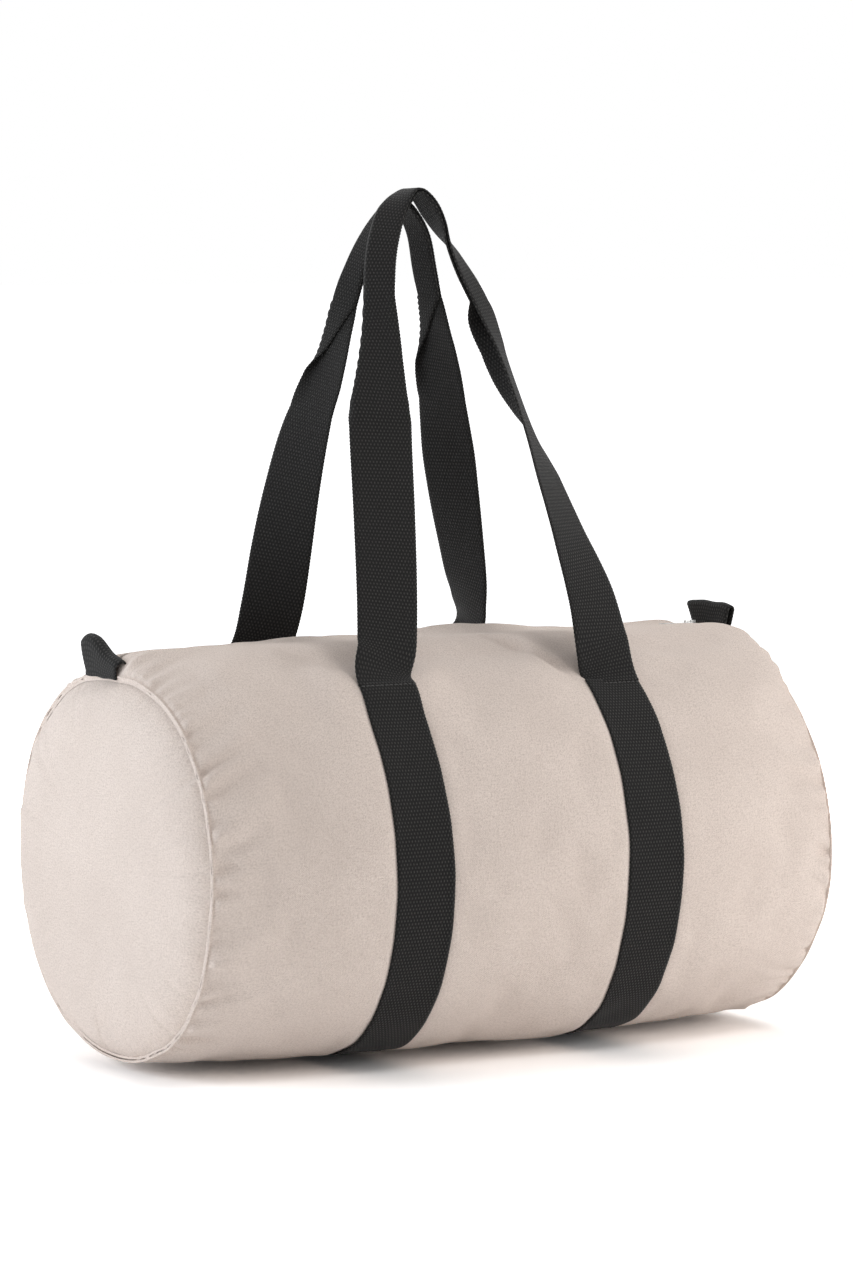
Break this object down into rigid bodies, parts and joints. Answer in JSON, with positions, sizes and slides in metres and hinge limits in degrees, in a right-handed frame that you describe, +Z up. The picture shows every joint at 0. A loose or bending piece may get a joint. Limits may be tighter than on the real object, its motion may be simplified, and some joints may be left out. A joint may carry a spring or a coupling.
{
  "type": "barrel bag",
  "caption": "Soft cylindrical canvas bag with a zip along its top, webbing carry handles stitched to bands that run round the body, and a webbing pull tab at each end.",
  "frame": {"origin": "on the floor under the middle of the bag", "axes": "+Z up, +X along the barrel towards the end where the zip closes, -Y towards the front"},
  "size_m": [0.46, 0.2812, 0.5501],
  "materials": {
    "canvas": "unbleached cotton twill canvas",
    "webbing": "black woven cotton-look webbing, matt",
    "thread": "black sewing thread",
    "zip_tape": "grey woven tape",
    "zip_teeth": "pressed metal teeth",
    "zip_metal": "nickel plated, satin",
    "binding": "folded cotton tape"
  },
  "bodies": {
    "bag": {"body_panel": "canvas", "left_end_panel": "canvas", "right_end_panel": "canvas", "left_seam_binding": "binding", "right_seam_binding": "binding", "left_band": "webbing", "right_band": "webbing", "left_band_stitching": "thread", "right_band_stitching": "thread", "left_end_tab": "webbing", "right_end_tab": "webbing", "left_zip_tapes": "zip_tape", "right_zip_tapes": "zip_tape", "left_zip_teeth": "zip_teeth", "right_zip_teeth": "zip_teeth", "zip_top_stops": "zip_metal", "zip_bottom_stop": "zip_metal"},
    "front_lip": {"front_lip": "canvas", "front_zip_tape": "zip_tape", "front_zip_teeth": "zip_teeth"},
    "back_lip": {"back_lip": "canvas", "back_zip_tape": "zip_tape", "back_zip_teeth": "zip_teeth"},
    "zip_slider": {"zip_slider": "zip_metal"},
    "zip_puller": {"zip_puller": "zip_metal"},
    "front_handle": {"front_handle": "webbing"},
    "back_handle": {"back_handle": "webbing"}
  },
  "joints": [
    {"name": "zip_slide", "type": "slide", "parent": "bag", "child": "zip_slider", "axis": [-1, 0, 0], "range_m": [0, 0.3931]},
    {"name": "puller_swing", "type": "hinge", "parent": "zip_slider", "child": "zip_puller", "pos_m": [0.2079, 0.00819, 0.26187], "axis": [0, 0.9981, -0.061], "range_deg": [0, 110]},
    {"name": "front_lip_open", "type": "hinge", "parent": "bag", "child": "front_lip", "pos_m": [0, -0.05837, 0.2547], "axis": [1, 0, 0], "range_deg": [0, 60]},
    {"name": "back_lip_open", "type": "hinge", "parent": "bag", "child": "back_lip", "pos_m": [0, 0.07338, 0.24664], "axis": [-1, 0, 0], "range_deg": [0, 45]},
    {"name": "front_handle_fold", "type": "hinge", "parent": "bag", "child": "front_handle", "pos_m": [0, -0.09397, 0.23422], "axis": [1, 0, 0], "range_deg": [0, 135]},
    {"name": "back_handle_fold", "type": "hinge", "parent": "bag", "child": "back_handle", "pos_m": [0, 0.10622, 0.22197], "axis": [-1, 0, 0], "range_deg": [0, 125]}
  ]
}
